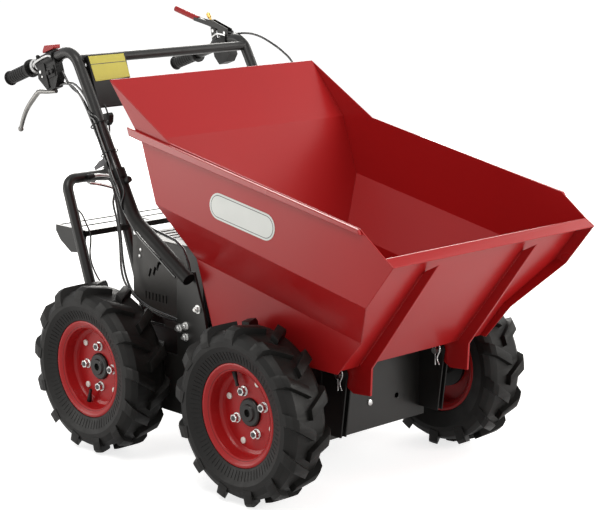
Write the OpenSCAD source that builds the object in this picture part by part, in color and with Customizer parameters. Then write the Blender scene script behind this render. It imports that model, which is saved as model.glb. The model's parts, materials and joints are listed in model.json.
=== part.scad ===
// Site dumper: tipping skip on a four-wheel chassis with a walk-behind handle.
// Millimetres. X forward, Y left, Z up. The floor is Z 0, under the middle of the machine.

/* [Overall] */
// length over the lip and the hand grips
length = 1407; // [1390:1:1430]
// height over the red lever
height = 1026; // [1010:1:1045]

/* [Wheels] */
// distance between the axles
wheelbase = 546; // [520:1:600]
// distance between the middles of a left and a right tyre
track = 652; // [640:1:700]
// tyre diameter over the lug tips
tyre_d = 410; // [390:1:424]
// tyre section width
tyre_w = 118; // [106:1:124]
// height of the tread lugs
lug_h = 14; // [10:1:18]
// width of a tread lug
lug_w = 24; // [18:1:30]
// tread lugs on each half of a tyre
lug_n = 13; // [10:1:14]
// diameter over the rim flanges
rim_d = 238; // [226:1:246]
// width over the rim flanges
rim_w = 86; // [78:1:94]
// depth from the outer rim flange to the wheel disc
disc_inset = 42; // [34:1:50]
// diameter of the black hub boss
hub_d = 64; // [56:1:70]
// diameter of the stub axle in the hub
axle_d = 30; // [24:1:36]

/* [Skip] */
// width over the upper side sheets
skip_w = 656; // [620:2:680]
// room between the lower side sheets and the tyres
tyre_room = 21; // [12:1:30]
// sheet thickness
sheet = 3; // [2:0.5:4]
// slope of the side folds
rake = 11; // [9:0.5:12]
// slope of the side rim
rim_rake = 10.7; // [9:0.1:12]
// underside of the skip floor
floor_z = 313; // [311:1:330]
// height of the lip above the floor
lip_h = 301; // [290:1:320]
// rise of the side rim's front end above the lip
rim_rise = 52; // [40:1:60]
// height of the upper side sheet
upper_h = 157; // [140:1:170]
// height of the slanted side sheet
middle_h = 124; // [100:1:140]
// slope of the front panel
front_slope = 51.9; // [48:0.1:56]
// lean of the rear panel from upright
rear_lean = 19; // [15:0.5:22]
// height of the flared top of the rear panel
flare_h = 133; // [110:1:150]
// lean of the flared top from upright
flare_lean = 40.8; // [35:0.1:45]
// back end of the skip floor
rear_x = 62; // [56:1:70]
// sideways place of the front ribs
rib_y = 160; // [150:1:170]
// thickness of the front ribs
rib_t = 6; // [4:1:8]
// width of the outward fold along the side rim
rim_strip = 8; // [6:1:12]

/* [Chassis] */
// half width over the chassis side plates
chassis_half = 155; // [150:1:158]
// underside of the chassis
chassis_z = 115; // [105:1:130]
// plate thickness
plate = 5; // [4:0.5:6]
// front face of the front plate
nose_x = 338; // [330:1:344]
// top of the engine bed
bed_z = 300; // [296:1:305]
// size of the square cross members
beam = 40; // [30:1:44]
// tipping pin diameter
pin_d = 16; // [12:1:18]
// drop of the tipping pin below the skip floor
pin_drop = 27; // [25:1:32]
// forward place of the tipping pin
pin_x = 398; // [392:1:402]
// radius of the lugs round the tipping pin
pin_lug = 20; // [16:1:22]
// diameter of the tie-down hole
tie_d = 13; // [9:0.5:16]

/* [Handle] */
// sideways place of the handle tubes
handle_y = 272; // [270:1:282]
// handle tube diameter
handle_d = 28; // [25:0.5:30]
// lower sleeve diameter
sleeve_d = 32; // [31:0.5:36]
// hand grip diameter
grip_d = 32; // [31:1:38]
// hand grip length
grip_l = 104; // [90:1:125]
// fall of the grips toward the back
grip_fall = 19; // [15:0.5:22]
// cross tube diameter
cross_d = 24; // [20:1:28]

/* [Engine cover] */
// half width over the cover side panels
cover_half = 203; // [198:1:208]
// height of the cover top
cover_z = 512; // [506:1:516]
// back edge of the cover
cover_x = 295; // [285:1:305]
// cover sheet thickness
cover_t = 3; // [2:0.5:4]

/* [Rear frame] */
// sideways place of the outer legs
leg_y = 235; // [225:1:236]
// sideways place of the inner leg
inner_y = 82; // [74:1:90]
// leg tube diameter
leg_d = 27; // [24:1:30]
// height of the leg top
leg_z = 625; // [600:1:650]
// height of the rear shelf
shelf_z = 500; // [490:1:510]
// depth of the rear shelf
shelf_l = 130; // [100:1:150]
// control cable diameter
cable_d = 6; // [5:0.5:8]

/* [Hidden] */
$fa = 4;
$fs = 1;
// clear room between pieces that sit on each other, and round a turning pin
gap = 0.2;
run = 0.05;
// longer than the machine, for cutting
far = 900;
// the lip lies a little farther from the middle of the wheelbase than the grips
x_mid = 3.5;
lip_x = length / 2 + x_mid;
grip_x = length / 2 - x_mid;
wheel_x = wheelbase / 2;
wheel_y = track / 2;
axle_z = tyre_d / 2;
tube_r = 26;
// skip lines: each side fold is known by its height over x 0
floor_w = 2 * (wheel_y - tyre_w / 2 - tyre_room);
slope = tan(rake);
rim_slope = tan(rim_rake);
panel_k = tan(front_slope);
lip_l = 24;
lip_z = floor_z + lip_h;
front_x = lip_x - lip_l - lip_h / panel_k;
rim_front = [lip_x - 95, lip_z + rim_rise];
rim_h = rim_front[1] + rim_slope * rim_front[0];
fold_h = rim_h - upper_h;
low_h = fold_h - middle_h;
rear_fold_z = rim_h - 7;
rear_fold_x = rear_x - (rear_fold_z - floor_z) * tan(rear_lean);
rear_z = rear_fold_z + flare_h;
rear_top_x = rear_fold_x - flare_h * tan(flare_lean);
// point of the front panel at height z, and where a fold line meets the side plate's front edge
function panel_x(z) = front_x + (z - floor_z) / panel_k;
function edge_z(h, ahead) = (h - slope * (front_x + ahead - floor_z / panel_k)) / (1 + slope / panel_k);
function edge(h, ahead) = [panel_x(edge_z(h, ahead)) + ahead, edge_z(h, ahead)];
tip = [lip_x, lip_z - 15];
// tipping pin
pin_z = floor_z - pin_drop;
fork = rib_t / 2 + 6.5;
cheek_t = 4;
// chassis lines
foot_x = -405;
mid_x = -25;
back_x = foot_x - beam / 2;
bed_t = 4;
beam_top = bed_z - bed_t;
tie_y = 75;
tie_z = chassis_z + 63;
bracket_y = 249;
// engine sizes follow the cover
eng_l = cover_x;
eng_w = cover_half;
eng_h = cover_z - bed_z;
cover_end = 30;
// handle lines in side view
handle_foot = [0, 455];
handle_low = [-197, 571];
sleeve_l = 129;
handle_top = [-423, height - 63.6];
rise = handle_top - handle_low;
up = rise / norm(rise);
sleeve_top = handle_low + up * sleeve_l;
function tube_z(x) = handle_top[1] + (x - handle_top[0]) * tan(grip_fall);
cap_t = 5.4;
grip_end = grip_d / 2 * sin(grip_fall) + cap_t * cos(grip_fall) - grip_x;
bar_end = [grip_end, tube_z(grip_end)];
cross_z = handle_top[1] - 26;
cross_x = handle_low[0] + (cross_z - handle_low[1]) * rise[0] / rise[1];
// control clusters on the handle tubes
right_x = -518;
left_x = -490;
clamp_d = handle_d + 10;
lever_d = 12;
// rear legs in side view
leg_lean = 20;
knee_z = bed_z + 8;
function leg_x(z) = foot_x - (z - knee_z) * tan(leg_lean);

// moves a piece so that the whole machine is centred over the origin
module place() {
  translate([-x_mid, 0, 0]) children();
}

module both() {
  children();
  mirror([0, 1, 0]) children();
}

// flat plate drawn in side view, from y0 to y1
module side_plate(pts, y0, y1) {
  translate([0, y1, 0]) rotate([90, 0, 0]) linear_extrude(y1 - y0) polygon(pts);
}

// round bar along Y from y0 to y1
module cross_bar(x, z, y0, y1, d) {
  translate([x, y1, z]) rotate([90, 0, 0]) cylinder(d = d, h = y1 - y0);
}

module block(x0, x1, y0, y1, z0, z1) {
  translate([x0, y0, z0]) cube([x1 - x0, y1 - y0, z1 - z0]);
}

function unit(v) = v / norm(v);
function turn(a, b) = acos(max(-1, min(1, unit(a) * unit(b))));
function on_y(pts, y) = [for (p = pts) [p[0], y, p[1]]];

// round bar between two points
module rod(a, b, d) {
  v = b - a;
  translate(a) rotate([0, acos(v[2] / norm(v)), atan2(v[1], v[0])]) cylinder(d = d, h = norm(v));
}

// bent tube through a row of points, every corner rounded to the bend radius
module bent_tube(pts, d, bend) {
  n = len(pts);
  lap = 1.5;
  for (i = [0 : n - 2]) {
    v = unit(pts[i + 1] - pts[i]);
    ta = i == 0 ? 0 : bend * tan(turn(pts[i] - pts[i - 1], v) / 2) - lap;
    tb = i == n - 2 ? 0 : bend * tan(turn(v, pts[i + 2] - pts[i + 1]) / 2) - lap;
    rod(pts[i] + v * ta, pts[i + 1] - v * tb, d);
  }
  if (n > 2) for (i = [1 : n - 2]) {
    u = unit(pts[i] - pts[i - 1]);
    v = unit(pts[i + 1] - pts[i]);
    a = turn(u, v);
    w = unit(v - (u * v) * u);
    m = cross(u, w);
    c = pts[i] - u * bend * tan(a / 2) + w * bend;
    rows = [for (k = [0 : 2]) [-w[k], u[k], m[k], c[k]]];
    multmatrix(concat(rows, [[0, 0, 0, 1]]))
      rotate_extrude(angle = a) translate([bend, 0]) circle(d = d + 0.3);
  }
}

// puts a wheel piece, drawn with its outer face toward +Y, at one corner
module corner(front, left) {
  translate([front * wheel_x, left * wheel_y, axle_z]) mirror([0, left > 0 ? 0 : 1, 0]) children();
}

module turned(pts) {
  rotate([-90, 0, 0]) rotate_extrude() polygon(pts);
}

// one half of a profile and its mirror image
function mirrored(half) = concat(half, [for (i = [len(half) - 1 : -1 : 0]) [half[i][0], -half[i][1]]]);

// slanted tread bar over one half of the tyre, seen from outside
module lug() {
  r = tyre_d / 2;
  w = tyre_w / 2;
  sweep = 0.75 * w;
  translate([r - 3 * lug_h, 0, 0]) rotate([90, 0, 90]) linear_extrude(4 * lug_h)
    polygon([[0, -4], [lug_w, -4], [lug_w + 4 - sweep, w + 1], [-sweep, w + 1]]);
}

module tread() {
  step = 360 / lug_n;
  rotate([-90, 0, 0]) for (i = [0 : lug_n - 1]) {
    rotate([0, 0, i * step]) lug();
    rotate([0, 0, (i + 0.5) * step]) mirror([0, 0, 1]) lug();
  }
}

module tyre() {
  r = tyre_d / 2;
  w = tyre_w / 2;
  f = rim_w / 2;
  b = rim_d / 2;
  h = r - b;
  crown = r - lug_h;
  half = [[b - 16 + gap, f - 5 - gap], [b + gap, f - 5 - gap], [b + gap, f], [b + 0.14 * h, f + 4],
    [b + 0.44 * h, w - 1.5], [b + 0.58 * h, w - 1.5], [crown - 0.1 * h, w - 8], [crown, w - 22]];
  turned(mirrored(half));
  intersection() {
    tread();
    turned(mirrored([[crown - 2 * lug_h, w], [r - 2 * lug_h, w], [r - 0.6 * lug_h, w - 4], [r, w - 14]]));
  }
}

module rim() {
  f = rim_w / 2;
  b = rim_d / 2;
  d = f - disc_inset;
  h = hub_d / 2 + gap;
  turned([[b - 6, f], [b, f - 1], [b, f - 5], [b - 16, f - 5], [b - 16, 5 - f], [b, 5 - f], [b, 1 - f],
    [b - 6, -f], [b - 20, 8 - f], [b - 20, d - 6], [h, d - 6], [h, d], [b - 32, d], [b - 24, d + 2],
    [b - 20, d + 8],
    [b - 20, f - 8]]);
}

module hub() {
  d = rim_w / 2 - disc_inset;
  r = hub_d / 2;
  a = axle_d / 2 + run;
  turned([[0, d - 10], [a, d - 10], [a, -52], [r, -52], [r, d - 15], [r + 30, d - 15], [r + 30, d - 6],
    [r, d - 6], [r, d + 5], [r - 3, d + 8], [r - 12, d + 8], [r - 14, d + 12], [9, d + 12], [9, d + 4],
    [0, d + 4]]);
}

module axle() {
  end = wheel_y + rim_w / 2 - disc_inset - 12;
  shoulder = wheel_y - 58;
  cross_bar(0, axle_z, -end, end, axle_d);
  cross_bar(0, axle_z, -shoulder, shoulder, 2 * tube_r);
}

// cross section of the skip, shrunk by t on each side, run along the rake
module skip_prism(t) {
  w = skip_w / 2 - t;
  b = floor_w / 2 - t;
  high = far + 300;
  lean = [[1, 0, 0, 0], [0, 1, 0, 0], [-slope, 0, 1, 0], [0, 0, 0, 1]];
  multmatrix(lean) translate([-far, 0, 0]) rotate([90, 0, 90]) linear_extrude(2 * far)
    polygon([[-b, 0], [b, 0], [b, low_h], [w, fold_h], [w, high], [-w, high], [-w, fold_h], [-b, low_h]]);
}

// side outline of the skip
skip_outline = [[rear_x, floor_z], [front_x + 17, floor_z], edge(low_h, 24), edge(fold_h, 35), tip,
  [lip_x - lip_l, lip_z], rim_front, [7, rim_h - 7 * rim_slope], [rear_top_x, rear_z],
  [rear_fold_x, rear_fold_z]];

module skip_side(s) {
  intersection() {
    difference() {
      skip_prism(0);
      skip_prism(sheet);
    }
    if (s > 0) side_plate(skip_outline, 1, far);
    else side_plate(skip_outline, -far, -1);
  }
}

// bent sheet in side view across the skip, trimmed to fit between the sides
module skip_sheet(pts) {
  intersection() {
    skip_prism(sheet);
    side_plate(pts, -far, far);
  }
}

module skip_rear() {
  t = sheet / cos(rear_lean);
  color("red") place() skip_sheet([[rear_x, floor_z], [rear_fold_x, rear_fold_z], [rear_top_x, rear_z],
    [rear_top_x + sheet / cos(flare_lean), rear_z], [rear_fold_x + t, rear_fold_z + 0.6],
    [rear_x + t, floor_z]]);
}

module skip_floor() {
  back = rear_x + sheet / cos(rear_lean);
  front = front_x - sheet / sin(front_slope);
  color("red") place() skip_sheet([[back, floor_z], [front, floor_z],
    [front + sheet / panel_k, floor_z + sheet], [back - sheet * tan(rear_lean), floor_z + sheet]]);
}

module skip_front() {
  t = sheet / sin(front_slope);
  color("red") place() skip_sheet([[front_x - t, floor_z], [front_x, floor_z],
    [panel_x(lip_z - 5), lip_z - 5],
    [lip_x - 1.6, tip[1] - 2.5], tip, [lip_x - lip_l, lip_z], [lip_x - lip_l - t, lip_z]]);
}

module skip_side_right() {
  color("red") place() skip_side(-1);
}

module skip_side_left() {
  color("red") place() skip_side(1);
}

// outward fold along the top of each side
module skip_rims() {
  w = skip_w / 2;
  h = 24;
  a = rear_fold_x - 44;
  b = rear_fold_x - 3;
  z = rim_h - a * rim_slope - 4;
  pts = [[a, z], rim_front, [rim_front[0] + 8, rim_front[1] - h / 2],
    [b, rim_h - b * rim_slope - h], [a + 8, z - 21]];
  color("red") place() both() side_plate(pts, w, w + rim_strip);
}

// front ribs with the tipping lugs and the hooked feet
module skip_ribs() {
  top = lip_z - 59;
  foot = panel_x(floor_z) + 39;
  pts = [[pin_x - pin_lug, floor_z], [front_x, floor_z], [panel_x(top), top],
    [panel_x(top + 22) + 26, top + 22],
    [foot, floor_z + 2], [foot - 3, floor_z - 61], [pin_x + 32, floor_z - 65], [pin_x, pin_z - pin_lug],
    [pin_x - pin_lug, pin_z]];
  y0 = rib_y - rib_t / 2;
  y1 = rib_y + rib_t / 2;
  color("red") place() both() difference() {
    union() {
      side_plate(pts, y0, y1);
      cross_bar(pin_x, pin_z, y0, y1, 2 * pin_lug);
    }
    cross_bar(pin_x, pin_z, y0 - 9, y1 + 9, pin_d + 2 * run);
  }
}

// forked posts that carry the tipping pins
module pivot_posts() {
  y0 = rib_y - fork;
  y1 = rib_y + fork;
  low = chassis_z + 23;
  high = pin_z + 18;
  cheek = [[nose_x, low], [pin_x, low], [pin_x + 19, pin_z], [pin_x - 18, high], [nose_x, high]];
  color("black") place() both() difference() {
    union() {
      for (y = [y0, y1 - cheek_t]) {
        side_plate(cheek, y, y + cheek_t);
        cross_bar(pin_x, pin_z, y, y + cheek_t, 2 * pin_lug);
      }
      block(nose_x, nose_x + cheek_t, y0, y1, low, high);
    }
    cross_bar(pin_x, pin_z, y0 - 5, y1 + 5, pin_d + 2 * run);
  }
}

module pivot_pins() {
  color("silver") place() both() cross_bar(pin_x, pin_z, rib_y - fork - 14, rib_y + fork + 14, pin_d);
}

module chassis_frame() {
  o = chassis_half;
  i = o - plate;
  z = chassis_z;
  rail = floor_z - 0.3;
  nose = nose_x - plate;
  low = beam_top - beam;
  sides = [[back_x, z + 60], [back_x + 65, z], [nose, z], [nose, rail], [rear_x + 4, rail],
    [rear_x - 32, beam_top], [back_x, beam_top]];
  bracket = [[mid_x - 40, low], [rear_x - 22, low], [rear_x - 17, floor_z + 7], [rear_x - 29, floor_z + 62],
    [rear_x - 64, floor_z + 157], [rear_x - 76, floor_z + 157], [mid_x - 40, floor_z + 127]];
  b = 0.3 * wheelbase;
  belly = [[-b, z], [b, z], [0.7 * b, low + 2], [-0.7 * b, low + 2]];
  color("black") place() difference() {
    union() {
      both() side_plate(sides, i, o);
      block(back_x + 65, nose, -i - 1, i + 1, z, z + plate);
      block(nose, nose_x, -o - 15, o + 15, z, floor_z - 8);
      for (x = [foot_x, mid_x])
        block(x - beam / 2, x + beam / 2, -bracket_y - 1, bracket_y + 1, low, beam_top);
      block(back_x, mid_x + beam / 2, -cover_half, cover_half, beam_top, bed_z);
      both() side_plate(bracket, bracket_y, handle_y - sleeve_d / 2 - gap);
      both() side_plate(belly, bracket_y, handle_y - sleeve_d / 2 - gap);
    }
    for (x = [-wheel_x, wheel_x]) cross_bar(x, axle_z, -o - 5, o + 5, 2 * tube_r + 2 * gap);
    translate([nose_x - 20, tie_y, tie_z]) rotate([0, 90, 0]) cylinder(d = tie_d, h = 40);
  }
}

module front_axle() {
  color("dimgray") place() translate([wheel_x, 0, 0]) axle();
}

module rear_axle() {
  color("dimgray") place() translate([-wheel_x, 0, 0]) axle();
}

module gearbox() {
  w = 0.76 * chassis_half;
  l = wheelbase;
  color("gray") place() block(-0.24 * l, 0.26 * l, -w, w, chassis_z + plate, beam_top - beam - 6);
}

module engine_block() {
  w = 0.54 * eng_w;
  z = bed_z + 0.52 * eng_h;
  color("gray") place() {
    block(-0.86 * eng_l, -0.25 * eng_l, -w, w, bed_z, bed_z + 0.61 * eng_h);
    block(-0.8 * eng_l, -0.32 * eng_l, -0.74 * eng_w, 0.3 * eng_w, z, z + 0.23 * eng_h);
  }
}

module recoil_starter() {
  r = 0.41 * eng_h;
  x = -0.86 * eng_l;
  color("black") place() translate([x, 0, bed_z + 0.44 * eng_h]) rotate([0, -90, 0]) {
    cylinder(r = r, h = 0.08 * eng_l);
    cylinder(r1 = 0.94 * r, r2 = 0.86 * r, h = 0.16 * eng_l);
  }
}

module fuel_tank() {
  w = 0.59 * eng_w;
  z = bed_z + 0.75 * eng_h;
  color("black") place() block(-0.85 * eng_l, -0.24 * eng_l, -w, w, z, z + 0.19 * eng_h);
}

module muffler() {
  y = 0.54 * eng_w;
  z = bed_z + 0.3 * eng_h;
  color("silver") place() block(-0.76 * eng_l, -0.35 * eng_l, y, 0.9 * eng_w, z, z + 0.4 * eng_h);
}

// side panels of the engine cover, with their vent slots
module cover_sides() {
  b = bed_z;
  x = -cover_x;
  pts = [[x + 125, b], [-cover_end, b], [-cover_end, cover_z - cover_t], [x, cover_z - cover_t], [x, b + 69],
    [x + 7, b + 55], [x + 24, b + 43], [x + 100, b + 29]];
  slots = [[x + 66, b + 126], [x + 83, b + 132], [x + 97, b + 146], [x + 107, b + 162]];
  color("dimgray") place() both() difference() {
    side_plate(pts, cover_half - cover_t, cover_half);
    for (i = [0 : 6]) translate([x + 47 + 13 * i, cover_half - 9, b + 58]) cube([5, 18, 19]);
    for (p = slots) translate([p[0], cover_half, p[1]]) rotate([0, 20, 0]) cube([7, 20, 22], center = true);
  }
}

// dark plates behind the vent slots
module cover_liners() {
  y = cover_half - 16;
  color("black") place() both() block(-0.96 * cover_x, -0.4 * cover_x, y, y + 2, bed_z + gap, cover_z - 16);
}

module cover_top() {
  l = cover_x - cover_end;
  w = 0.78 * cover_half;
  color("dimgray") place() difference() {
    block(-cover_x, -cover_end, -cover_half, cover_half, cover_z - cover_t, cover_z);
    for (i = [1 : 9]) translate([-cover_end - i * l / 10, 0, cover_z]) cube([10, 2 * w, 20], center = true);
  }
}

module handle_sleeves() {
  top = [sleeve_top[0], handle_y, sleeve_top[1]];
  v = [up[0], 0, up[1]];
  color("black") place() both() {
    bent_tube(on_y([handle_foot, handle_low, sleeve_top], handle_y), sleeve_d, 80);
    rod(top - v * 24, top, sleeve_d + 7);
  }
}

module handlebar() {
  start = sleeve_top + up * gap;
  color("black") place() {
    both() bent_tube(on_y([start, handle_top, bar_end], handle_y), handle_d, 50);
    cross_bar(cross_x, cross_z, -handle_y, handle_y, cross_d);
  }
}

module grips() {
  e = [bar_end[0], handle_y, bar_end[1]];
  v = [-cos(grip_fall), 0, -sin(grip_fall)];
  color("black") place() both() difference() {
    union() {
      rod(e - v * (grip_l - cap_t), e + v * cap_t, grip_d);
      rod(e - v * (grip_l - cap_t), e - v * (grip_l - cap_t - 5), grip_d + 14);
    }
    rod(e - v * (grip_l + 9), e + v * gap, handle_d + 2 * gap);
  }
}

// puts a piece on a handle tube just ahead of the grip, local X along the tube
module on_tube(x, left) {
  translate([x, left * handle_y, tube_z(x)]) rotate([0, -grip_fall, 0]) children();
}

module tube_ring(x0, x1, d) {
  translate([x0, 0, 0]) rotate([0, 90, 0]) cylinder(d = d, h = x1 - x0);
}

module switch_boxes() {
  bore = handle_d + 2 * gap;
  color("black") place() {
    on_tube(right_x, -1) difference() {
      union() {
        side_plate([[-40, 0], [34, 0], [34, -50], [14, -74], [-20, -74], [-48, -36]], -15, 8);
        tube_ring(-40, 30, clamp_d);
      }
      tube_ring(-90, 90, bore);
    }
    on_tube(left_x, 1) difference() {
      union() {
        side_plate([[-34, 0], [26, 0], [26, -40], [8, -54], [-22, -54], [-34, -30]], -15, 15);
        tube_ring(-34, 26, clamp_d);
      }
      tube_ring(-90, 90, bore);
    }
  }
}

// bright levers: one under the right handle, the arm of the red one over the left
module hand_levers() {
  low = -74 - gap - lever_d / 2;
  color("silver") place() {
    on_tube(right_x, -1)
      bent_tube([[4, 0, low], [-38, 0, low], [-86, 0, -58], [-140, 0, -84], [-192, 0, -132]], lever_d, 30);
    on_tube(left_x, 1) bent_tube([[8, 0, clamp_d / 2 + gap], [8, 0, 30], [-156, 0, 136]], lever_d, 8);
  }
}

module red_lever() {
  a = [8, 0, 30];
  e = [-156, 0, 136];
  v = unit(e - a);
  color("red") place() on_tube(left_x, 1) difference() {
    rod(e - v * 92, e + v * 4, lever_d + 4);
    rod(e - v * 99, e + v * gap, lever_d + 2 * gap);
  }
}

module stop_switch() {
  z = clamp_d / 2 + gap;
  pts = [[-12, z], [36, z], [38, z + 9], [0, z + 17], [-10, z + 8]];
  color("red") place() on_tube(right_x, -1) side_plate(pts, -11, 11);
}

// leaning box under the cross tube
module console() {
  x = cross_x + cross_d / 2 + 0.4;
  z = cross_z;
  pts = [[x, z + 12], [x + 8, z + 12], [x + 50, z - 114], [x + 13, z - 114], [x - 9, z - 21], [x, z - 16]];
  y = 15 - handle_y;
  color("black") place() side_plate(pts, y, y + 115);
}

// shift lever with its knob, and the ribbed hand grip beside it
module gear_levers() {
  z = leg_z - 15.5;
  a = [leg_x(z) - leg_d / 2 - 1.9, -inner_y - 3, z];
  b = [leg_x(leg_z) - 10, -inner_y - 8, leg_z + 10.2];
  rings = [for (i = [0 : 2]) each [[12, 9 * i + 2], [14.5, 9 * i + 2], [14.5, 9 * i + 7], [12, 9 * i + 7]]];
  color("black") place() {
    translate(a) rotate([0, -97, 0]) rotate_extrude()
      polygon([[0, 0], [5.5, 0], [5.5, 72], [11, 76], [13.5, 82], [13.5, 90], [10, 96], [0, 98]]);
    translate(b) rotate([0, -10, 0]) rotate_extrude()
      polygon(concat([[0, 0], [12, 0]], rings, [[12, 30], [0, 30]]));
  }
}

module rear_hoop() {
  x = leg_x(leg_z);
  foot = beam_top + gap;
  end = shelf_z + 20;
  color("black") place() {
    bent_tube([[foot_x, -leg_y, foot], [foot_x, -leg_y, knee_z], [x, -leg_y, leg_z], [x, -inner_y, leg_z],
      [foot_x, -inner_y, knee_z + bed_t], [foot_x, -inner_y, bed_z + gap]], leg_d, 30);
    bent_tube([[foot_x, leg_y, foot], [foot_x, leg_y, knee_z], [leg_x(end), leg_y, end]], leg_d, 30);
  }
}

// slotted shelf between the rear legs, with a plate at each end
module rear_shelf() {
  y1 = leg_y - leg_d / 2 - gap;
  x1 = leg_x(shelf_z) + 18;
  x0 = x1 - shelf_l;
  z = shelf_z;
  slot = (shelf_l - 25) / 2;
  gusset = [[x0, z - 16], [x0, z], [x1, z], [x1 - 14, z - 58], [x1 - 68, z - 64], [x1 - 112, z - 38]];
  color("dimgray") place() difference() {
    union() {
      block(x0, x1, -y1, y1, z - 3, z);
      block(x1 - 3, x1, -y1, y1, z - 14, z);
      both() side_plate(gusset, y1 - 3, y1);
    }
    for (i = [0 : 1]) both() translate([x0 + 6 + i * (slot + 5), 6, z - 9]) cube([slot, y1 - 14, 18]);
    rod([foot_x, -inner_y, knee_z + bed_t], [leg_x(leg_z), -inner_y, leg_z], leg_d + 4 * gap);
  }
}

// control cables, each held from the handle down to the chassis
module cables() {
  r = cable_d / 2;
  y = handle_y + sleeve_d / 2 + r + 4;
  s = -cover_half - 25;
  t = -cover_half - 6;
  k = leg_z - 40;
  plate_y = handle_y - sleeve_d / 2 - gap;
  z1 = tube_z(right_x);
  z2 = tube_z(left_x);
  // points just behind the right handle tube
  low = handle_low - [21, 12];
  q = [for (f = [0.74, 0.33]) [low[0] + f * rise[0], -handle_y, low[1] + f * rise[1]]];
  right = [[right_x + 48, -handle_y, z1 - 26], [right_x + 78, -handle_y, z1 - 62], q[0], q[1],
    [handle_low[0] - 103, s - 10, handle_low[1] - 11], [-cover_x - 5, s, bed_z + 100],
    [-cover_x + 65, s, bed_z + 50], [mid_x - 41, -bracket_y - 3, bed_z + 45]];
  left = [[left_x + 11, handle_y, z2 + 30], [handle_top[0] + 22, handle_y + 13, handle_top[1] + 6],
    [handle_top[0] + 128, handle_y + 20, handle_top[1] - 32], [handle_top[0] + 185, y, handle_top[1] - 69],
    [handle_top[0] + 201, y, sleeve_top[1] + 117], [sleeve_top[0] + 30, y, sleeve_top[1] + 7],
    [handle_low[0] + 7, y, handle_low[1] + 19],
    [handle_foot[0] - 40, y, handle_foot[1] + 45], [handle_foot[0] - 30, y, handle_foot[1] - 30],
    [handle_foot[0] - 35, plate_y + r, handle_foot[1] - 85]];
  shift = [[leg_x(k) + 20, -inner_y - 23, k], [foot_x - 75, -inner_y - 38, k - 28],
    [foot_x - 32, -inner_y - 58, k - 61], [foot_x + 18, -inner_y - 88, k - 110],
    [-cover_x - 40, t - 1, bed_z + 105], [-cover_x - 7, t, bed_z + 66], [-cover_x + 95, t, bed_z + 22],
    [mid_x - 35, t - 9, bed_z + 30], [mid_x - 5, t - 13, beam_top + r - 0.7]];
  color("black") place() {
    bent_tube(right, cable_d, 32);
    bent_tube(left, cable_d, 50);
    bent_tube(shift, cable_d, 16);
  }
}

module tyre_front_right() {
  color("black") place() corner(1, -1) tyre();
}

module rim_front_right() {
  color("red") place() corner(1, -1) rim();
}

module hub_front_right() {
  color("black") place() corner(1, -1) hub();
}

module tyre_front_left() {
  color("black") place() corner(1, 1) tyre();
}

module rim_front_left() {
  color("red") place() corner(1, 1) rim();
}

module hub_front_left() {
  color("black") place() corner(1, 1) hub();
}

module tyre_rear_right() {
  color("black") place() corner(-1, -1) tyre();
}

module rim_rear_right() {
  color("red") place() corner(-1, -1) rim();
}

module hub_rear_right() {
  color("black") place() corner(-1, -1) hub();
}

module tyre_rear_left() {
  color("black") place() corner(-1, 1) tyre();
}

module rim_rear_left() {
  color("red") place() corner(-1, 1) rim();
}

module hub_rear_left() {
  color("black") place() corner(-1, 1) hub();
}

tyre_front_right();
rim_front_right();
hub_front_right();
tyre_front_left();
rim_front_left();
hub_front_left();
tyre_rear_right();
rim_rear_right();
hub_rear_right();
tyre_rear_left();
rim_rear_left();
hub_rear_left();
skip_rear();
skip_side_right();
skip_side_left();
skip_front();
skip_floor();
skip_ribs();
skip_rims();
chassis_frame();
pivot_posts();
pivot_pins();
front_axle();
rear_axle();
gearbox();
engine_block();
recoil_starter();
fuel_tank();
muffler();
cover_sides();
cover_top();
cover_liners();
handle_sleeves();
handlebar();
grips();
switch_boxes();
hand_levers();
red_lever();
stop_switch();
console();
gear_levers();
rear_hoop();
rear_shelf();
cables();
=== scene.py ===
import json
import math

import bmesh
import bpy
from mathutils import Matrix, Vector


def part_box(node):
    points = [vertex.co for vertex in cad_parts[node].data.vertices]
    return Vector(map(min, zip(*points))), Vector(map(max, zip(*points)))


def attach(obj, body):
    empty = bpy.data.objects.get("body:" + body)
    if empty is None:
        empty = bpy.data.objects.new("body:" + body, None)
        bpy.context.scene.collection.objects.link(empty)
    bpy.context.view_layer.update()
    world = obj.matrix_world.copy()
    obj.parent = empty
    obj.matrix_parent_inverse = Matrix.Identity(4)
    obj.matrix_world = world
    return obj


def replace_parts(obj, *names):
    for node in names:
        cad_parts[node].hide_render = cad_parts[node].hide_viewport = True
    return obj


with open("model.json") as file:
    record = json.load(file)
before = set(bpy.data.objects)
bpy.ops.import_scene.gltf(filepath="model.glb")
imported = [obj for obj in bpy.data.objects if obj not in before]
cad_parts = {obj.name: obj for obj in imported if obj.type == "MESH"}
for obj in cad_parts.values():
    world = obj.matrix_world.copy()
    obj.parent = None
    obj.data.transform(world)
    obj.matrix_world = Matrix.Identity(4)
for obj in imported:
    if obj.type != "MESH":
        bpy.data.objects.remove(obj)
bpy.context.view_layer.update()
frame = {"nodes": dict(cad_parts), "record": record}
NODES = frame["nodes"]

# Camera, fitted to points in the photo.
PHOTO_W = 600
FOCAL_PX = 1850.11
SENSOR_MM = 36.0
EYE = Vector((3.2165, -2.9712, 1.3781))
AIM = Vector((0.08406, 0.0005, 0.48745))
ROLL = -0.12

# Sizes of the CAD, in mm, with x measured from the middle of the wheelbase.
MM = 1000.0
MID_X = 3.5
WHEEL_X = 273.0
WHEEL_Y = 326.0
AXLE_Z = 205.0
DISC = 1.0  # outer face of the rim's disc, from the wheel's middle
PIN_X, PIN_Z = 398.0, 286.0
BEAM_TOP = 296.0
BRACKET_Y = 255.8
FRONT_PLATE_X = 338.0
COVER_Y = 203.0
SEAT = 0.05  # gap under a piece that sits on a face

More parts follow.
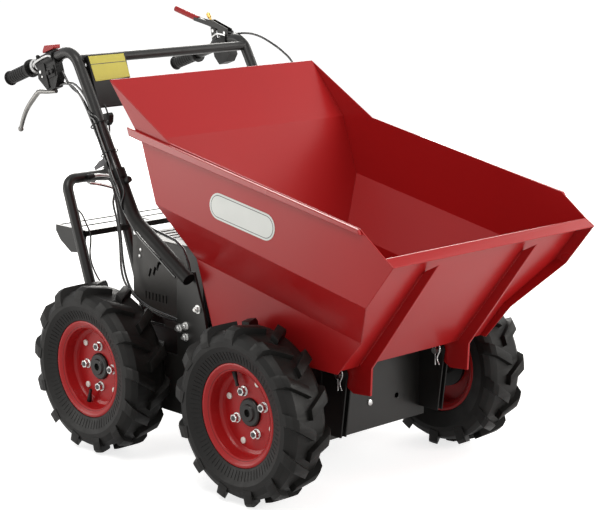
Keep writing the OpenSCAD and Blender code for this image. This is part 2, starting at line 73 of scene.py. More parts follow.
# The handle's tubes, in x and z: the upright from the bend to the top, and the grip tube that falls
# backwards from there.
HANDLE_Y = 272.0
HANDLE_FALL = math.radians(19.0)
HANDLE_RISE = math.radians(60.0)
HANDLE_TOP_X = -423.0
HANDLE_LOW = Vector((-197.0, 571.0))
HANDLE_TOP = Vector((HANDLE_TOP_X, HANDLE_LOW.y + (HANDLE_LOW.x - HANDLE_TOP_X) * math.tan(HANDLE_RISE)))
SLEEVE_END = Vector((0.0, 455.0))
UP = (HANDLE_TOP - HANDLE_LOW).normalized()
BEHIND = Vector((-UP.y, UP.x))
FOOT = (SLEEVE_END - HANDLE_LOW).normalized()
RIGHT_BOX_X = -518.0
LEFT_BOX_X = -490.0

Y_AXIS = Vector((0, 1, 0))
GRIP_AXIS = Vector((math.cos(HANDLE_FALL), 0, math.sin(HANDLE_FALL)))
GRIP_ACROSS = Y_AXIS.cross(GRIP_AXIS)
SIDES = ((-1, "right"), (1, "left"))

# Below, places, routes and outlines are in mm. Profiles, as (height, radius), radii, thicknesses and heights
# over a face are in metres, except where a comment says otherwise.


def at(x, y, z):
    """A point given in mm from the middle of the wheelbase, in the row frame."""
    return Vector(((x - MID_X) / MM, y / MM, z / MM))


def in_plane(p, y):
    """A point of the x-z plane, in mm, at a given y."""
    return at(p.x, y, p.y)


def in_space(v):
    """A direction of the x-z plane, in space."""
    return Vector((v.x, 0, v.y))


def on_tube(x0, side, along, near, over):
    """A point by a grip tube: along it from its point at x0, out from its middle plane, and over it."""
    c, s = math.cos(HANDLE_FALL), math.sin(HANDLE_FALL)
    z0 = HANDLE_TOP.y + (x0 - HANDLE_TOP.x) * s / c
    return at(x0 + along * c - over * s, side * (HANDLE_Y + near), z0 + along * s + over * c)


def by_right(along, near, over):
    """A point by the right switch box."""
    return on_tube(RIGHT_BOX_X, -1, along, near, over)


def by_left(along, near, over):
    """A point by the left switch box."""
    return on_tube(LEFT_BOX_X, 1, along, near, over)


def circle(centre, a, b, r, n):
    """n points of a circle, or of an ellipse where a and b differ in length."""
    return [centre + (a * math.cos(2 * math.pi * i / n) + b * math.sin(2 * math.pi * i / n)) * r
            for i in range(n)]


def curve(points, steps=6):
    """Points of a smooth curve through the given ones."""
    pts = [Vector(p) for p in points]
    pts = [pts[0] * 2 - pts[1]] + pts + [pts[-1] * 2 - pts[-2]]
    out = []
    for a, b, c, d in zip(pts, pts[1:], pts[2:], pts[3:]):
        for k in range(steps):
            t = k / steps
            out.append(0.5 * (2 * b + (c - a) * t + (2 * a - 5 * b + 4 * c - d) * t ** 2
                              + (3 * b - a - 3 * c + d) * t ** 3))
    return out + [pts[-2]]


def route(points):
    """A smooth curve through points given in mm."""
    return curve([at(*p) for p in points])


def rounded(points, rounds=3):
    """Points of a line whose corners are cut round after round."""
    pts = [Vector(p) for p in points]
    for _ in range(rounds):
        cut = [pts[0]]
        for a, b in zip(pts, pts[1:]):
            cut += [a * 0.75 + b * 0.25, a * 0.25 + b * 0.75]
        pts = cut + [pts[-1]]
    return pts


def make_camera():
    data = bpy.data.cameras.new("camera")
    data.sensor_fit = "HORIZONTAL"
    data.sensor_width = SENSOR_MM
    data.lens = FOCAL_PX / PHOTO_W * SENSOR_MM
    data.clip_end = 60.0
    cam = bpy.data.objects.new("camera", data)
    bpy.context.scene.collection.objects.link(cam)
    turn = (AIM - EYE).to_track_quat("-Z", "Y").to_matrix().to_4x4()
    cam.matrix_world = Matrix.Translation(EYE) @ turn @ Matrix.Rotation(math.radians(ROLL), 4, "Z")
    bpy.context.scene.camera = cam


# Sockets of a colour Mix node.
MIX_FAC, MIX_A, MIX_B, MIX_OUT = 0, 6, 7, 2

# Range of a noise's values that its remap spreads.
NOISE_LOW, NOISE_HIGH = 0.22, 0.78


class Mat:
    """A Principled material whose colour, roughness and surface vary with procedural noise."""

    def __init__(self, name, color, rough, metal=0.0, spec=0.5, coat=0.0, coat_rough=0.1):
        self.mat = bpy.data.materials.new(name)
        self.mat.use_nodes = True
        self.tree = self.mat.node_tree
        self.bsdf = self.tree.nodes["Principled BSDF"]
        self.color = color
        self.bsdf.inputs["Base Color"].default_value = (*color, 1.0)
        self.bsdf.inputs["Roughness"].default_value = rough
        self.bsdf.inputs["Metallic"].default_value = metal
        self.bsdf.inputs["Specular IOR Level"].default_value = spec
        self.bsdf.inputs["Coat Weight"].default_value = coat
        self.bsdf.inputs["Coat Roughness"].default_value = coat_rough
        self.coord = self.tree.nodes.new("ShaderNodeTexCoord").outputs["Object"]
        self.normal = None

    def link(self, a, b):
        self.tree.links.new(a, b)

    def noise(self, scale, detail):
        n = self.tree.nodes.new("ShaderNodeTexNoise")
        n.inputs["Scale"].default_value = scale
        n.inputs["Detail"].default_value = detail
        self.link(self.coord, n.inputs["Vector"])
        return n.outputs["Fac"]

    def remap(self, fac, low, high):
        r = self.tree.nodes.new("ShaderNodeMapRange")
        r.inputs["From Min"].default_value = NOISE_LOW
        r.inputs["From Max"].default_value = NOISE_HIGH
        r.inputs["To Min"].default_value = low
        r.inputs["To Max"].default_value = high
        self.link(fac, r.inputs["Value"])
        return r.outputs["Result"]

    def mix(self, fac, a, b):
        m = self.tree.nodes.new("ShaderNodeMix")
        m.data_type = "RGBA"
        m.inputs[MIX_A].default_value = (*a, 1.0)
        m.inputs[MIX_B].default_value = (*b, 1.0)
        self.link(fac, m.inputs[MIX_FAC])
        return m.outputs[MIX_OUT]

    def vary(self, scale, amount, detail=3.0):
        """Lighter and darker patches of the base colour."""
        fac = self.remap(self.noise(scale, detail), 0.0, 1.0)
        dark = tuple(c * (1.0 - amount) for c in self.color)
        light = tuple(min(1.0, c * (1.0 + amount)) for c in self.color)
        self.link(self.mix(fac, dark, light), self.bsdf.inputs["Base Color"])
        return self

    def rough(self, scale, low, high, detail=4.0):
        """Duller and glossier patches."""
        self.link(self.remap(self.noise(scale, detail), low, high), self.bsdf.inputs["Roughness"])
        return self

    def bump(self, scale, strength, distance, detail=2.0):
        """Fine relief of the surface."""
        b = self.tree.nodes.new("ShaderNodeBump")
        b.inputs["Strength"].default_value = strength
        b.inputs["Distance"].default_value = distance
        self.link(self.noise(scale, detail), b.inputs["Height"])
        if self.normal:
            self.link(self.normal, b.inputs["Normal"])
        self.normal = b.outputs["Normal"]
        self.link(self.normal, self.bsdf.inputs["Normal"])
        return self


MATS = {}
RED = (0.38, 0.0105, 0.0115)


def make_materials():
    m = MATS
    m["red"] = Mat("red_powder_coat", RED, 0.3, spec=0.26, coat=0.04, coat_rough=0.16) \
        .vary(3.0, 0.05, 1.0).rough(7.0, 0.27, 0.33, 1.0).bump(700.0, 0.02, 0.0002, 1.0)
    m["red_edge"] = Mat("red_coat_on_edges", RED, 0.26, spec=0.36, coat=0.22, coat_rough=0.12) \
        .vary(3.0, 0.05, 1.0).rough(7.0, 0.23, 0.29, 1.0).bump(700.0, 0.02, 0.0002, 1.0)
    m["black"] = Mat("black_powder_coat", (0.011, 0.0106, 0.0098), 0.34, spec=0.40) \
        .vary(14.0, 0.25).rough(30.0, 0.28, 0.4).bump(600.0, 0.08, 0.0004)
    # A darker, duller copy of the black paint: painted shade for parts that sit in shadow.
    m["shade"] = Mat("black_coat_painted_shade", (0.007, 0.0066, 0.006), 0.5, spec=0.22) \
        .vary(14.0, 0.25).rough(30.0, 0.44, 0.58).bump(600.0, 0.08, 0.0004)
    m["grey"] = Mat("dark_grey_cover", (0.046, 0.044, 0.041), 0.5) \
        .vary(18.0, 0.15).rough(40.0, 0.42, 0.56).bump(700.0, 0.12, 0.0004)
    m["rubber"] = Mat("tyre_rubber", (0.006, 0.0056, 0.005), 0.5, spec=0.24) \
        .vary(30.0, 0.14).rough(34.0, 0.42, 0.6).bump(320.0, 0.10, 0.0005)
    m["plastic"] = Mat("black_moulding", (0.008, 0.0078, 0.0075), 0.48, spec=0.3) \
        .vary(30.0, 0.2).rough(50.0, 0.4, 0.56).bump(900.0, 0.12, 0.0003)
    m["sheath"] = Mat("cable_sheath", (0.012, 0.012, 0.012), 0.22, spec=0.7) \
        .vary(30.0, 0.2).rough(50.0, 0.17, 0.27).bump(900.0, 0.05, 0.0002)
    m["zinc"] = Mat("bright_zinc", (0.66, 0.66, 0.65), 0.28, metal=1.0) \
        .vary(60.0, 0.12).rough(90.0, 0.2, 0.38).bump(500.0, 0.05, 0.0002)
    m["lever"] = Mat("dull_lever_metal", (0.24, 0.235, 0.225), 0.3, metal=1.0) \
        .vary(40.0, 0.2).rough(60.0, 0.22, 0.36).bump(400.0, 0.05, 0.0002)
    m["cast"] = Mat("cast_metal", (0.10, 0.10, 0.105), 0.6, metal=0.6) \
        .vary(20.0, 0.2).rough(60.0, 0.5, 0.72).bump(180.0, 0.25, 0.0008)
    m["pale"] = Mat("pale_zinc", (0.74, 0.72, 0.67), 0.36, metal=0.25) \
        .vary(60.0, 0.08).rough(90.0, 0.3, 0.44)
    m["brass"] = Mat("brass_adjuster", (0.62, 0.40, 0.12), 0.3, metal=1.0) \
        .vary(60.0, 0.12).rough(80.0, 0.24, 0.4)
    m["yellow"] = Mat("yellow_label", (0.52, 0.465, 0.06), 0.42) \
        .vary(25.0, 0.06).rough(40.0, 0.36, 0.5)
    m["white"] = Mat("white_plate", (0.72, 0.74, 0.71), 0.36) \
        .vary(25.0, 0.03).rough(40.0, 0.3, 0.44)
    # Near-black: painted shade inside open tube ends.
    m["hole_shade"] = Mat("painted_shade_inside", (0.003, 0.003, 0.003), 0.8, spec=0.1) \
        .vary(40.0, 0.2).rough(40.0, 0.7, 0.9)
    # Dark grey for printed lines, and on the wheel studs as painted shade.
    m["ink"] = Mat("dark_grey_print_and_stud_shade", (0.045, 0.047, 0.05), 0.45) \
        .vary(30.0, 0.1).rough(40.0, 0.4, 0.52)


# The material of each slot of the record, and the nodes with a finish of their own.
SLOT_OF = {"red_paint": "red", "black_paint": "black", "grey_paint": "grey", "tyre": "rubber",
           "black_plastic": "plastic", "zinc": "zinc", "cast_metal": "cast", "cable_black": "sheath"}
# The pivot posts and the handle sleeves take the darker copy of the black paint, as painted shade.
FINISH = {"skip_rims": "red_edge", "pivot_posts": "shade", "handle_sleeves": "shade"}

# Width of the rounded edges, in metres, by the start of a node's name. The first that fits counts.
BEVEL = {"tyre": 0.003, "skip_rims": 0.0025, "skip_ribs": 0.0012, "skip": 0.0014, "cover_s": 0.0008,
         "cover_t": 0.0008, "rim_": 0.0015, "hub_": 0.001, "switch": 0.002, "console": 0.003, "stop": 0.002,
         "chassis": 0.001, "pivot_po": 0.0008, "rear_shelf": 0.0006, "fuel": 0.006, "engine": 0.004,
         "muffler": 0.008, "gearbox": 0.006, "recoil": 0.004, "grips": 0.002}
BEVEL_STEPS = 2
NODE_EDGE = math.radians(28.0)
PIECE_EDGE = math.radians(40.0)
WELD_GAP = 0.00002


def round_edges(obj, width, angle):
    bevel = obj.modifiers.new("round", "BEVEL")
    bevel.width = width
    bevel.segments = BEVEL_STEPS
    bevel.limit_method = "ANGLE"
    bevel.angle_limit = angle
    return bevel


def dress_frame():
    """Gives every CAD node its finish and rounds its sharp edges."""
    for part in frame["record"]["subparts"]:
        name = part["node"]
        obj = NODES[name]
        mat = MATS[FINISH.get(name) or SLOT_OF[part["material_slot"]]].mat
        for s in obj.material_slots:
            s.material = mat
        if not obj.material_slots:
            obj.data.materials.append(mat)
        width = [w for key, w in BEVEL.items() if name.startswith(key)]
        if width:
            obj.modifiers.new("weld", "WELD").merge_threshold = WELD_GAP
            round_edges(obj, width[0], NODE_EDGE).harden_normals = True


# A nut's chamfer, as a share of its width, and the share of its radius that is left on top.
HEX_CHAMFER, HEX_TOP = 0.06, 0.9


class Shape:
    """Collects solids in one mesh, in the row frame, in metres."""

    def __init__(self):
        self.bm = bmesh.new()

    def ring(self, centre, a, b, r, n):
        return [self.bm.verts.new(p) for p in circle(centre, a, b, r, n)]

    def skin(self, rings, closed=False):
        n = len(rings[0])
        pairs = list(zip(rings, rings[1:])) + ([(rings[-1], rings[0])] if closed else [])
        for u, v in pairs:
            for i in range(n):
                self.bm.faces.new((u[i], u[(i + 1) % n], v[(i + 1) % n], v[i]))
        if not closed:
            self.bm.faces.new(list(reversed(rings[0])))
            self.bm.faces.new(rings[-1])

    def lathe(self, base, axis, profile, n=24):
        """Solid of revolution: profile is (height along the axis, radius) from base."""
        axis = Vector(axis).normalized()
        a = axis.orthogonal().normalized()
        b = axis.cross(a)
        self.skin([self.ring(Vector(base) + axis * h, a, b, r, n) for h, r in profile])
        return self

    def hexagon(self, base, axis, flat, height, twist=0.0):
        """Nut of a width across its flats, with its outer corners taken off."""
        r = flat / math.sqrt(3.0)
        axis = Vector(axis).normalized()
        a = Matrix.Rotation(twist, 3, axis) @ axis.orthogonal().normalized()
        b = axis.cross(a)
        chamfer = HEX_CHAMFER * flat
        self.skin([self.ring(Vector(base) + axis * h, a, b, r * k, 6)
                   for h, k in ((0.0, 1.0), (height - chamfer, 1.0), (height, HEX_TOP))])
        return self

    def wire(self, points, r, n=10, closed=False):
        """Round wire through points, of one radius or of one for each point."""
        pts = [Vector(p) for p in points]
        count = len(pts)
        radii = list(r) if isinstance(r, (list, tuple)) else [r] * count
        rings = []
        up = None
        for i, p in enumerate(pts):
            if closed:
                d = (pts[(i + 1) % count] - pts[i - 1]).normalized()
            else:
                d = (pts[min(i + 1, count - 1)] - pts[max(i - 1, 0)]).normalized()
            up = d.orthogonal().normalized() if up is None else (up - d * up.dot(d)).normalized()
            rings.append(self.ring(p, up, d.cross(up), radii[i], n))
        self.skin(rings, closed)
        return self

    def prism(self, points, offset):
        """Flat plate: a closed outline in space, pushed along offset."""
        low = [self.bm.verts.new(Vector(p)) for p in points]
        high = [self.bm.verts.new(Vector(p) + Vector(offset)) for p in points]
        self.skin([low, high])
        return self

    def box(self, low, high):
        (x0, y0, z0), (x1, y1, z1) = low, high
        return self.prism([(x0, y0, z0), (x1, y0, z0), (x1, y1, z0), (x0, y1, z0)], (0, 0, z1 - z0))

    def done(self, name, body, mat, slot, bevel=0.0, smooth=30.0):
        """Makes the piece: its name, the body it rides on and its material. The slot argument is not used."""
        bmesh.ops.recalc_face_normals(self.bm, faces=self.bm.faces)
        mesh = bpy.data.meshes.new(name)
        self.bm.to_mesh(mesh)
        self.bm.free()
        obj = bpy.data.objects.new(name, mesh)
        bpy.context.scene.collection.objects.link(obj)
        mesh.materials.append(MATS[mat].mat)
        mesh.shade_smooth()
        mesh.set_sharp_from_angle(angle=math.radians(smooth))
        if bevel:
            round_edges(obj, bevel, PIECE_EDGE)
        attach(obj, body)
        return obj


# Each wheel: front or rear, left or right, and the turn of its nuts and of its valve, as in the photo.
WHEELS = {"front_right": (1, -1, 25.0, 115.0), "front_left": (1, 1, 25.0, 115.0),
          "rear_right": (-1, -1, 2.0, 250.0), "rear_left": (-1, 1, 2.0, 250.0)}
NUTS, NUT_CIRCLE = 4, 50.0
NUT_WASHER = [(0.0, 0.0122), (0.0016, 0.0122), (0.0022, 0.0116)]
NUT_FLAT, NUT_HEIGHT = 0.018, 0.011
STUD_FOOT = 0.0133
STUD = [(0.0, 0.0056), (0.0012, 0.0056), (0.0018, 0.0048)]
BOLT_CIRCLE = 74.0
BOLT_TURN = 46.0
BOLT_HEAD = [(0.0, 0.0078), (0.0026, 0.0078), (0.0036, 0.0068), (0.0038, 0.004)]
NUT_TWIST = math.radians(15.0)
WALL_RIBS = 80
WALL_RIB = [(124.0, 44.3), (131.0, 46.7), (146.0, 52.8), (145.0, 53.6), (131.0, 47.9), (125.0, 45.6)]
WALL_RIB_HALF = 0.0008
VALVE_FOOT, VALVE_TIP = (97.5, 12.0), (64.0, 15.0)
VALVE = [(0.0, 0.0058), (0.012, 0.0052), (0.024, 0.0036), (0.030, 0.0042), (0.034, 0.0036)]


def make_wheel_details():
    for name, (front, left, turn, valve_turn) in WHEELS.items():
        body = "wheel_" + name
        out = Vector((0, left, 0))

        def spot(radius, angle, depth):
            """A point by its radius and angle in degrees, and its height over the rim's disc."""
            t = math.radians(angle)
            return at(front * WHEEL_X + radius * math.cos(t), left * (WHEEL_Y + DISC + depth),
                      AXLE_Z + radius * math.sin(t))

        nuts, studs, bolts = Shape(), Shape(), Shape()
        for k in range(NUTS):
            angle = turn + 360.0 / NUTS * k
            p = spot(NUT_CIRCLE, angle, SEAT)
            nuts.lathe(p, out, NUT_WASHER)
            nuts.hexagon(p + out * NUT_WASHER[-1][0], out, NUT_FLAT, NUT_HEIGHT, NUT_TWIST * k)
            studs.lathe(p + out * STUD_FOOT, out, STUD, 20)
            bolts.lathe(spot(BOLT_CIRCLE, angle + BOLT_TURN, SEAT), out, BOLT_HEAD, 20)
        nuts.done("wheel_nuts_" + name, body, "zinc", "zinc")
        # The studs' ends are dark grey: painted shade in the hollow centres of the nuts.
        studs.done("wheel_studs_" + name, body, "ink", "zinc")
        bolts.done("wheel_bolts_" + name, body, "pale", "zinc")

        # Fine moulded ribs around the foot of the tyre's outer wall.
        ribs = Shape()
        centre = at(front * WHEEL_X, left * WHEEL_Y, AXLE_Z)
        for k in range(WALL_RIBS):
            t = math.radians(360.0 / WALL_RIBS * k)
            ray = Vector((math.cos(t), 0, math.sin(t)))
            side = Vector((-ray.z, 0, ray.x)) * WALL_RIB_HALF
            ribs.prism([centre + ray * (r / MM) + out * (w / MM) - side for r, w in WALL_RIB], side * 2.0)
        ribs.done("tyre_ribs_" + name, body, "rubber", "tyre")

        foot = spot(VALVE_FOOT[0], valve_turn, VALVE_FOOT[1])
        tip = spot(VALVE_TIP[0], valve_turn, VALVE_TIP[1])
        Shape().lathe(foot, tip - foot, VALVE, 16) \
            .done("tyre_valve_" + name, body, "plastic", "black_plastic")


# Blank plate on the right side sheet: white, with a thin dark line inside its edge. Each layer has its name,
# half width, lift and thickness in mm, and finish.
PLATE_Y = -328.0
PLATE_ENDS = (Vector((173.0, 657.0)), Vector((326.0, 632.0)))
PLATE_LAYERS = (("side_plate_white", 30.0, 0.2, 0.8, "white"),
                ("side_plate_line", 25.5, 1.0, 0.15, "ink"),
                ("side_plate_face", 24.0, 1.15, 0.15, "white"))
PLATE_STEPS = 12

# The front panel's slope and foot, under the folded lip, and the weld beads along its ribs.
LIP_X, LIP_FOLD = 707.0, 24.0
PANEL_RISE = 301.0
PANEL_SLOPE = math.tan(math.radians(51.9))
PANEL_FOOT_X = LIP_X - LIP_FOLD - PANEL_RISE / PANEL_SLOPE
PANEL_FOOT_Z = 313.0
RIB_Y = 160.0
BEAD_OUT, BEAD_LIFT, BEAD_R = 3.6, 1.0, 0.0016
BEAD_LOW, BEAD_HIGH, BEAD_POINTS = 318.0, 552.0, 60


def make_skip_details():
    # The layers of the side plate, each with round ends.
    along = (PLATE_ENDS[1] - PLATE_ENDS[0]).normalized()
    across = Vector((-along.y, along.x))
    for name, half, lift, thick, mat in PLATE_LAYERS:
        outline = []
        for end, start in zip(PLATE_ENDS, (math.pi / 2, -math.pi / 2)):
            for k in range(PLATE_STEPS + 1):
                t = math.pi * (k / PLATE_STEPS) + start
                outline.append(end + (along * math.cos(t) + across * math.sin(t)) * half)
        Shape().prism([in_plane(p, PLATE_Y - lift) for p in outline], (0, -thick / MM, 0)) \
            .done(name, "skip", mat, "red_paint")

    # Weld beads where each rib meets the front panel.
    for side, name in SIDES:
        bead = Shape()
        for dy in (-BEAD_OUT, BEAD_OUT):
            pts = []
            for i in range(BEAD_POINTS):
                z = BEAD_LOW + (BEAD_HIGH - BEAD_LOW) * i / (BEAD_POINTS - 1.0)
                x = PANEL_FOOT_X + (z - PANEL_FOOT_Z) / PANEL_SLOPE + BEAD_LIFT
                pts.append(at(x, side * RIB_Y + dy, z))
            bead.wire(pts, BEAD_R, 8)
        bead.done("rib_weld_" + name, "skip", "red", "red_paint")


# Fasteners of the chassis, by x and z on its sides or y and z on its front.
CLIP_Y = (("right", -180.6), ("left", 139.4))
CLIP_R = 0.0015
CLIP_TOP, CLIP_LEG_TOP = 19.0, 16.0
CLIP_LEGS = ((2.0, 50.0, 0.0), (12.0, 48.0, 4.0))  # distance from the pin, length and swing
BRACKET_BOLTS = ((12.0, 384.0), (-56.0, 327.0), (-33.0, 336.0), (-33.0, 309.0))
BRACKET_WASHER = [(0.0, 0.0105), (0.0018, 0.0105)]
BRACKET_NUT = (0.013, 0.007, 0.3)  # across the flats, height and twist
BRACKET_STUD_FOOT = 0.0088
BRACKET_STUD = [(0.0, 0.004), (0.004, 0.004)]
PLATE_BOLTS = ((-15.0, 179.0), (-120.0, 150.0))
PLATE_BOLT = [(0.0, 0.0075), (0.0025, 0.0075), (0.004, 0.005), (0.0046, 0.002)]
COVER_SCREWS = ((-263.0, 478.0), (-267.0, 462.0))
COVER_SCREW = [(0.0, 0.0042), (0.0018, 0.004), (0.0026, 0.002)]


def wavy(x, y, z, length, swing, waves=1.1, n=28):
    """A line down from a point, which swings forward and back."""
    pts = []
    for i in range(n):
        t = i / (n - 1.0)
        pts.append(at(x + swing * math.sin(t * 2.0 * waves * math.pi), y, z - length * t))
    return pts


def make_chassis_details():
    # Spring clips through the ends of the tipping pins.
    for name, y in CLIP_Y:
        clip = Shape()
        top = at(PIN_X + CLIP_LEGS[0][0], y, PIN_Z + CLIP_TOP)
        for dx, length, swing in CLIP_LEGS:
            clip.wire([top] + wavy(PIN_X + dx, y, PIN_Z + CLIP_LEG_TOP, length, swing), CLIP_R, 8)
        clip.done("pin_clip_" + name, "chassis", "zinc", "zinc")

    # Bolts on the handle brackets.
    for side, name in SIDES:
        s = Shape()
        out = Vector((0, side, 0))
        for x, z in BRACKET_BOLTS:
            p = at(x, side * (BRACKET_Y + SEAT), z)
            s.lathe(p, out, BRACKET_WASHER)
            s.hexagon(p + out * BRACKET_WASHER[-1][0], out, *BRACKET_NUT)
            s.lathe(p + out * BRACKET_STUD_FOOT, out, BRACKET_STUD, 14)
        s.done("bracket_bolts_" + name, "chassis", "zinc", "zinc")

    # Bolts on the front plate, and the cover's screws.
    s = Shape()
    for y, z in PLATE_BOLTS:
        s.lathe(at(FRONT_PLATE_X + SEAT, y, z), (1, 0, 0), PLATE_BOLT, 20)
    s.done("front_plate_bolts", "chassis", "zinc", "zinc")
    for side, name in SIDES:
        s = Shape()
        for x, z in COVER_SCREWS:
            s.lathe(at(x, side * (COVER_Y + SEAT), z), (0, side, 0), COVER_SCREW, 16)
        s.done("cover_screws_" + name, "chassis", "zinc", "zinc")


# Label on the console: the ends of the console's front face, and corners as y and the way down that face.
CONSOLE_TOP = Vector((-387.3, 948.0))
CONSOLE_LOW = Vector((-345.3, 822.0))
LABEL = ((-256.0, 3.0), (-148.0, 3.0), (-143.0, 62.0), (-250.0, 66.0))
LABEL_LINE = ((-254.0, 23.0), (-147.0, 22.0), (-147.0, 23.6), (-254.0, 24.6))

# Its layers: name, corners, lift in mm, thickness in metres, and finish.
LABEL_LAYERS = (("console_label", LABEL, 0.3, 0.0008, "yellow"),
                ("console_label_line", LABEL_LINE, 1.1, 0.0002, "ink"))

# The first ring of each grip, the step to the next, and their number.
GRIP_RING_X, GRIP_RING_STEP, GRIP_RINGS = -690.0, 8.6, 9
GRIP_RING_R, GRIP_RING_WIRE = 0.0158, 0.0011

# Two strands behind the right tube: their distance from its middle, and sideways. They start at the switch
# box, follow the upright, round its bend, and run down the sleeve.
STRANDS = ((18.6, 4.0), (24.2, -3.0))
STRAND_R = 0.0027
STRAND_LEAD = ((-484.0, 869.0), (-468.0, 875.5), (-449.0, 878.0), (-434.0, 877.5), (-419.0, 873.0),
               (-402.0, 863.0), (-386.0, 848.0), (-371.0, 829.0))
STRAND_UPRIGHT = (262.0, 200.0, 140.0, 70.0, 28.0)
STRAND_SLEEVE = (40.0, 90.0, 150.0, 190.0)
STRAND_BEND, BEND_STEPS = 28.0, 8
TIES = (252.0, 176.0)
TIE_BACK, TIE_DEEP, TIE_WIDE, TIE_WIRE = 4.5, 0.0238, 0.0196, 0.0016
KNOB_UP, KNOB_FRONT = 92.0, 16.2
KNOB = [(0.0, 0.005), (0.006, 0.005), (0.007, 0.0082), (0.016, 0.0082), (0.018, 0.006)]
# A thin disc as wide as the sleeve's bore, which carries the painted shade.
SLEEVE_HOLE_SHADE = [(0.0, 0.0156), (0.0002, 0.0156)]
LATCH_R = 0.0034
LATCH_CABLE = ((-247.0, -250.0, 600.0), (-229.0, -244.0, 570.0), (-198.0, -238.0, 553.0),
               (-164.0, -236.0, 543.5), (-126.0, -236.0, 537.0), (-89.0, -236.0, 530.0),
               (-56.0, -240.0, 514.0), (-34.0, -244.0, 484.0), (-22.0, -246.5, 450.0), (-20.0, -247.0, 420.0))


def make_handle_details():
    # Blank yellow label on the front face of the console, with a plain line across it.
    along = (CONSOLE_LOW - CONSOLE_TOP).normalized()
    out = Vector((-along.y, along.x))
    for name, corners, lift, thick, mat in LABEL_LAYERS:
        points = [in_plane(CONSOLE_TOP + along * d + out * lift, y) for y, d in corners]
        Shape().prism(points, in_space(out) * thick).done(name, "chassis", mat, "black_plastic")

    # Raised rings on the rubber grips.
    for side, name in SIDES:
        s = Shape()
        for i in range(GRIP_RINGS):
            c = on_tube(GRIP_RING_X + GRIP_RING_STEP * i, side, 0.0, 0.0, 0.0)
            s.wire(circle(c, Y_AXIS, GRIP_ACROSS, GRIP_RING_R, 36), GRIP_RING_WIRE, 8, closed=True)
        s.done("grip_rings_" + name, "chassis", "plastic", "black_plastic")

    # Cable strands tied along the back of the right tube, and the clamp knob of its sleeve.
    s = Shape()
    for off, dy in STRANDS:
        pts = [Vector(p) + BEHIND * (off - STRANDS[0][0]) for p in STRAND_LEAD]
        pts += [HANDLE_LOW + UP * d + BEHIND * off for d in STRAND_UPRIGHT]
        for k in range(1, BEND_STEPS):
            t = k / BEND_STEPS
            d = UP * (1.0 - t) - FOOT * t
            side = Vector((-d.y, d.x)).normalized()
            pts.append(HANDLE_LOW + side * off + UP * (STRAND_BEND * (1 - t)) + FOOT * (STRAND_BEND * t))
        side = Vector((FOOT.y, -FOOT.x))
        pts += [HANDLE_LOW + FOOT * d + side * off for d in STRAND_SLEEVE]
        s.wire([in_plane(p, -HANDLE_Y + dy) for p in pts], STRAND_R)
    s.done("handle_strands", "chassis", "sheath", "cable_black")
    s = Shape()
    for d in TIES:
        c = in_plane(HANDLE_LOW + UP * d + BEHIND * TIE_BACK, -HANDLE_Y)
        loop = circle(c, in_space(BEHIND) * TIE_DEEP, Y_AXIS * TIE_WIDE, 1.0, 36)
        s.wire(loop, TIE_WIRE, 8, closed=True)
    s.done("strand_ties", "chassis", "plastic", "black_plastic")
    c = in_plane(HANDLE_LOW + UP * KNOB_UP - BEHIND * KNOB_FRONT, -HANDLE_Y)
    Shape().lathe(c, -in_space(BEHIND), KNOB, 20) \
        .done("sleeve_knob", "chassis", "plastic", "black_plastic")

    # Near-black discs over the sleeves' ends, painted shade inside their open tubes, and the latch cable over
    # the cover.
    for side, name in SIDES:
        end = in_plane(SLEEVE_END, side * HANDLE_Y) + in_space(FOOT) * (SEAT / MM)
        Shape().lathe(end, in_space(FOOT), SLEEVE_HOLE_SHADE, 32) \
            .done("sleeve_hole_shade_" + name, "chassis", "hole_shade", "black_paint")
    Shape().wire([at(*p) for p in LATCH_CABLE], LATCH_R, 12) \
        .done("latch_cable", "chassis", "sheath", "cable_black")


# Red lever's fittings, as points along the left grip tube and over it.
LEVER_FORK = ((-88.0, 95.0), (-42.0, 73.0), (-22.0, 69.0), (34.0, 28.0), (33.0, 18.0), (20.0, 15.0),
              (-34.0, 54.0), (-62.0, 70.0), (-91.0, 86.0))
LEVER_EARS = (((-26.0, 49.0), (-8.0, 40.0), (-12.0, 8.0), (-32.0, 10.0)),
              ((19.0, 27.0), (33.0, 23.0), (36.0, 2.0), (20.0, 4.0)))
FORK_SIDES, FORK_THICK = (-8.6, 6.4), 0.0022
EAR_SIDES, EAR_THICK = (-12.4, 9.4), 0.003
PIVOT_SIDE = -15.0
LEVER_PIVOTS = ((24.0, 20.0), (-19.0, 38.0))
LEVER_PIVOT = [(0.0, 0.003), (0.0006, 0.0046), (0.0025, 0.0046), (0.0026, 0.003), (0.0278, 0.003),
               (0.0279, 0.0046), (0.0305, 0.0046), (0.031, 0.003)]
SPRING_R = 0.0026
LEVER_SPRING = ((-24.0, -14.5, 22.0), (-6.0, -15.0, 25.0), (10.0, -15.0, 21.0), (28.0, -14.5, 12.0))
ADJUSTER_X, ADJUSTER_Z, ADJUSTER_AXIS = -540.0, 992.0, (-0.577, 0, 0.816)
ADJUSTER = [(0.0, 0.0032), (0.011, 0.0032), (0.012, 0.0056), (0.024, 0.0056), (0.026, 0.004)]


